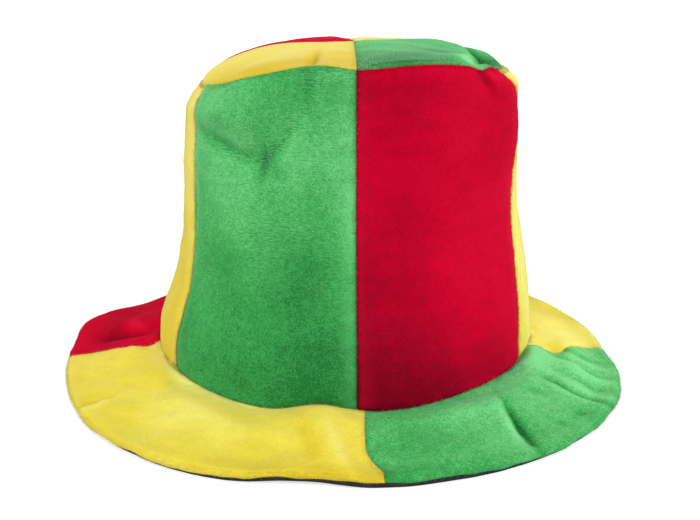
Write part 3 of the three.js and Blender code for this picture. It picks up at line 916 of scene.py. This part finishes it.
def pile_nap_group():
    """Short pile that lies lighter or darker as it is brushed at random, and as painted light and shade are
    given to it: its colour, roughness and height.
    """
    group, given, made = new_group(
        "pile nap",
        [
            ("Place", "Vector"),
            ("Nap and painted light", "Float"),
            ("Grain", "Float"),
            ("Pile", "Color"),
            ("Brushed and lit", "Color"),
            ("Parted and shaded", "Color"),
        ],
        [("Colour", "Color"), ("Roughness", "Float"), ("Height", "Float")],
    )
    place = given.outputs["Place"]
    clouds = noise(group, place, CLOUD_SCALE)
    tufts = noise(group, place, TUFT_SCALE, roughness=0.55)
    grain = noise(group, place, GRAIN_SCALE, detail=1.0, roughness=0.6)
    single = math_node(group, "MULTIPLY", grain, GRAIN_SHARE)
    fine = math_node(group, "MULTIPLY_ADD", tufts, TUFT_SHARE, single)
    uneven = math_node(group, "SUBTRACT", clouds, 0.5)
    brushing_and_light = math_node(group, "MULTIPLY_ADD", uneven, CLOUD_TONE, given.outputs["Nap and painted light"])
    tips = math_node(group, "SUBTRACT", fine, 0.5)
    tone = math_node(group, "MULTIPLY_ADD", tips, given.outputs["Grain"], brushing_and_light)
    parted_and_shaded = mixed(group, ramp(group, tone, 0.0, -1.0), given.outputs["Pile"], given.outputs["Parted and shaded"])
    colour = mixed(group, ramp(group, tone, 0.0, 1.0), parted_and_shaded, given.outputs["Brushed and lit"])
    roughness = ramp(group, fine, NOISE_LOW, NOISE_HIGH, 0.82, 0.98)
    fill_sockets(group, made, {"Colour": colour, "Roughness": roughness, "Height": fine})
    return group


def knit_rows_group():
    """The knitted courses under the pile: short wavering dashes in rows along the cloth, in patches."""
    inputs = [("Cloth", "Vector"), ("Shown", "Float")]
    group, given, made = new_group("knit rows", inputs, [("Rows", "Float")])
    cloth = given.outputs["Cloth"]
    sockets = {
        "Vector": cloth,
        "Scale": WAVE_PERIOD / (COURSE_HEIGHT * MM),
        "Distortion": 3.0,
        "Detail": 2.0,
        "Detail Scale": 1.4,
    }
    courses = add_node(group, "ShaderNodeTexWave", sockets, bands_direction="Y").outputs["Fac"]
    longer = add_node(group, "ShaderNodeVectorMath", {0: cloth, 1: DASH_STRETCH}, operation="MULTIPLY")
    dashes = noise(group, longer.outputs["Vector"], GRAIN_SCALE, detail=1.0)
    patches = ramp(group, noise(group, cloth, PATCH_SCALE, detail=1.0), 0.36, 0.62, 0.1, 1.0)
    raised = ramp(group, courses, 0.0, 1.0, 0.4, 1.0)
    broken = math_node(group, "MULTIPLY", raised, ramp(group, dashes, 0.36, 0.66))
    shown = math_node(group, "MULTIPLY", patches, given.outputs["Shown"])
    fill_sockets(group, made, {"Rows": math_node(group, "MULTIPLY", broken, shown)})
    return group


def seam_shade_group():
    """Cloth near a seam: painted shade in the stitched groove, and a painted highlight on the roll beside
    it.
    """
    group, given, made = new_group(
        "seam shade",
        [("Colour", "Color"), ("Roll highlight", "Color"), ("Reach", "Float")],
        [("Colour", "Color")],
    )
    colour, reach = given.outputs["Colour"], given.outputs["Reach"]
    groove_full, highlight_start, groove_edge, highlight_full, highlight_end = 0.0001, 0.0002, 0.0008, 0.0012, 0.009  # metres
    fading = ramp(group, reach, highlight_end, highlight_full)
    roll = math_node(group, "MULTIPLY", fading, ramp(group, reach, highlight_start, highlight_full))
    roll_highlighted = mixed(group, math_node(group, "MULTIPLY", roll, ROLL_HIGHLIGHT_SHARE), colour, given.outputs["Roll highlight"])
    groove_shading = ramp(group, reach, groove_edge, groove_full)
    fill_sockets(group, made, {"Colour": mixed(group, groove_shading, roll_highlighted, GROOVE_SHADE, "MULTIPLY")})
    return group


def place_group(tree, group, sockets):
    """The outputs of a node group that is placed in a material with its own values."""
    return add_node(tree, "ShaderNodeGroup", sockets, node_tree=group).outputs


def new_material(name):
    material = bpy.data.materials.new(name)
    material.use_nodes = True
    return material, material.node_tree, material.node_tree.nodes["Principled BSDF"]


def read_attribute(tree, name, output):
    return add_node(tree, "ShaderNodeAttribute", attribute_name=name).outputs[output]


def bump(tree, height, distance):
    sockets = {"Height": height, "Distance": distance, "Strength": 1.0}
    return add_node(tree, "ShaderNodeBump", sockets).outputs["Normal"]


def velour(name, groups, pile, brushed_and_lit, parted_and_shaded, grain, sheen, sheen_weight):
    """Velour: short pile with a soft sheen over a knitted ground. Its brushed colour also stands for painted
    light, and its parted colour for painted shade, where the mesh marks them.
    """
    material, tree, shader = new_material(name)
    place = add_node(tree, "ShaderNodeTexCoord").outputs["Object"]
    rough = read_attribute(tree, "grain", "Fac")
    pile_sockets = {
        "Place": place,
        "Nap and painted light": read_attribute(tree, "nap_and_painted_light", "Fac"),
        "Grain": math_node(tree, "MULTIPLY", rough, grain),
        "Pile": pile,
        "Brushed and lit": brushed_and_lit,
        "Parted and shaded": parted_and_shaded,
    }
    nap_and_painted_light = place_group(tree, groups["nap_and_painted_light"], pile_sockets)
    knit = {"Cloth": read_attribute(tree, "cloth", "Vector"), "Shown": read_attribute(tree, "rows", "Fac")}
    rows = place_group(tree, groups["rows"], knit)["Rows"]
    courses = mixed(tree, math_node(tree, "MULTIPLY", rows, ROWS_TONE), nap_and_painted_light["Colour"], brushed_and_lit)
    reach = read_attribute(tree, "seam", "Fac")
    shade = place_group(tree, groups["seam"], {"Colour": courses, "Roll highlight": brushed_and_lit, "Reach": reach})
    tips = math_node(tree, "MULTIPLY", nap_and_painted_light["Height"], rough)
    height = math_node(tree, "MULTIPLY_ADD", rows, ROWS_HEIGHT, tips)
    finish = {
        "Base Color": shade["Colour"],
        "Roughness": nap_and_painted_light["Roughness"],
        "Normal": bump(tree, height, PILE_DEPTH),
        "Specular IOR Level": 0.04,
        "Sheen Weight": sheen_weight,
        "Sheen Roughness": 0.35,
        "Sheen Tint": sheen,
    }
    fill_sockets(tree, shader, finish)
    return material


def knit_backing(name, groups, yarn, shadow):
    """The plain knitted back of the plush, inside the hat."""
    material, tree, shader = new_material(name)
    place = add_node(tree, "ShaderNodeTexCoord").outputs["Object"]
    knit = {"Cloth": read_attribute(tree, "cloth", "Vector"), "Shown": 1.0}
    rows = place_group(tree, groups["rows"], knit)["Rows"]
    fluff = noise(tree, place, FLUFF_SCALE)
    tone = math_node(tree, "MULTIPLY_ADD", rows, 0.5, math_node(tree, "MULTIPLY", fluff, 0.5))
    finish = {
        "Base Color": mixed(tree, tone, shadow, yarn),
        "Roughness": ramp(tree, fluff, NOISE_LOW, NOISE_HIGH, 0.85, 0.97),
        "Normal": bump(tree, tone, BACK_DEPTH),
        "Specular IOR Level": 0.15,
    }
    fill_sockets(tree, shader, finish)
    return material


def woven_dark(name, yarn, shadow):
    """Flat dark woven cloth: yarns over and under in two directions, with a little lint."""
    material, tree, shader = new_material(name)
    place = add_node(tree, "ShaderNodeTexCoord").outputs["Object"]
    sockets = {"Vector": place, "Scale": YARN_SCALE, "Distortion": 0.6, "Detail": 1.0}
    yarns = [add_node(tree, "ShaderNodeTexWave", sockets, bands_direction=way) for way in ("X", "Y")]
    weave = math_node(tree, "MAXIMUM", *[yarn_way.outputs["Fac"] for yarn_way in yarns])
    lint = noise(tree, place, LINT_SCALE, detail=3.0, roughness=0.6)
    tone = math_node(tree, "MULTIPLY", weave, ramp(tree, lint, NOISE_LOW, NOISE_HIGH, 0.5, 1.0))
    finish = {
        "Base Color": mixed(tree, tone, shadow, yarn),
        "Roughness": ramp(tree, lint, NOISE_LOW, NOISE_HIGH, 0.7, 0.9),
        "Normal": bump(tree, weave, WEAVE_DEPTH),
    }
    fill_sockets(tree, shader, finish)
    return material


def make_materials():
    groups = {"nap_and_painted_light": pile_nap_group(), "rows": knit_rows_group(), "seam": seam_shade_group()}
    cloths = {
        "green": velour(
            "green velour",
            groups,
            pile=srgb(64, 164, 84),
            brushed_and_lit=srgb(122, 212, 138),
            parted_and_shaded=srgb(28, 106, 46),
            grain=2.3,
            sheen=srgb(205, 250, 215),
            sheen_weight=0.3,
        ),
        "red": velour(
            "red velour",
            groups,
            pile=srgb(196, 0, 42),
            brushed_and_lit=srgb(222, 22, 60),
            parted_and_shaded=srgb(120, 2, 26),
            grain=1.2,
            sheen=srgb(255, 50, 90),
            sheen_weight=0.09,
        ),
        "yellow": velour(
            "yellow velour",
            groups,
            pile=srgb(224, 205, 66),
            brushed_and_lit=srgb(238, 228, 122),
            parted_and_shaded=srgb(206, 176, 30),
            grain=1.6,
            sheen=srgb(255, 250, 220),
            sheen_weight=0.3,
        ),
    }
    backs = {
        "green": knit_backing("green backing", groups, yarn=srgb(70, 150, 84), shadow=srgb(40, 100, 54)),
        "red": knit_backing("red backing", groups, yarn=srgb(170, 20, 44), shadow=srgb(110, 8, 26)),
        "yellow": knit_backing("yellow backing", groups, yarn=srgb(225, 200, 84), shadow=srgb(176, 146, 46)),
    }
    dark = woven_dark("dark woven cloth", yarn=srgb(52, 47, 52), shadow=srgb(20, 17, 20))
    return cloths, backs, dark


def make_hat():
    cloths, backs, dark = make_materials()
    makers = ((make_crown, CROWN_PANELS), (make_top, TOP_QUARTERS), (make_brim, BRIM_QUARTERS))
    for maker, pieces in makers:
        for number, piece in enumerate(pieces):
            maker(piece, [cloths[piece.cloth], backs[piece.cloth]], FUZZ_SEED * len(pieces) + number)
    make_underside([dark, dark])


def make_floor():
    mesh = bpy.data.meshes.new("floor")
    ways = [(-1, -1), (1, -1), (1, 1), (-1, 1)]
    corners = [(x * FLOOR_HALF, y * FLOOR_HALF, FLOOR_HEIGHT) for x, y in ways]
    mesh.from_pydata(corners, [], [(0, 1, 2, 3)])
    material, tree, shader = new_material("pale floor")
    seen = add_node(tree, "ShaderNodeLightPath").outputs["Is Camera Ray"]
    pale, dim, black = (0.6, 0.6, 0.6, 1), (0.3, 0.3, 0.3, 1), (0, 0, 0, 1)
    finish = {
        "Base Color": mixed(tree, seen, dim, pale),
        "Emission Color": mixed(tree, seen, black, pale),
        "Emission Strength": 1.0,
        "Roughness": 0.7,
        "Specular IOR Level": 0.2,
    }
    fill_sockets(tree, shader, finish)
    mesh.materials.append(material)
    floor = bpy.data.objects.new("floor", mesh)
    bpy.context.scene.collection.objects.link(floor)


def add_sun(name, azimuth, elevation, strength, width):
    """A soft far light: its azimuth is measured as the camera's, from the front towards +X."""
    lamp = bpy.data.lights.new(name, "SUN")
    lamp.energy, lamp.angle = strength, math.radians(width)
    sun = bpy.data.objects.new(name, lamp)
    sun.rotation_euler = (math.radians(90 - elevation), 0, math.radians(azimuth))
    bpy.context.scene.collection.objects.link(sun)


def light_studio():
    add_sun("key light", azimuth=32, elevation=36, strength=1.9, width=50)
    add_sun("side light", azimuth=92, elevation=14, strength=1.35, width=50)
    add_sun("left light", azimuth=-66, elevation=16, strength=2.2, width=60)
    add_sun("back light", azimuth=176, elevation=38, strength=0.65, width=70)
    world = bpy.data.worlds.new("studio")
    world.use_nodes = True
    tree = world.node_tree
    seen = add_node(tree, "ShaderNodeLightPath").outputs["Is Camera Ray"]
    brightness = ramp(tree, seen, 0.0, 1.0, 0.36, 1.0)
    fill_sockets(tree, tree.nodes["Background"], {"Color": (1, 1, 1, 1), "Strength": brightness})
    bpy.context.scene.world = world
    bpy.context.scene.view_settings.view_transform = "Standard"


def place_camera():
    """The photograph's viewpoint: in front, a little above the hat, looking down at it."""
    camera = bpy.data.cameras.new("camera")
    camera.sensor_width = CAMERA_SENSOR
    camera.lens = CAMERA_LENS
    camera.clip_start = 0.02
    view = bpy.data.objects.new("camera", camera)
    view.location = CAMERA_PLACE
    view.rotation_euler = (math.radians(90 - CAMERA_TILT), 0, 0)
    bpy.context.scene.collection.objects.link(view)
    bpy.context.scene.camera = view


place_camera()
make_hat()
make_floor()
light_studio()
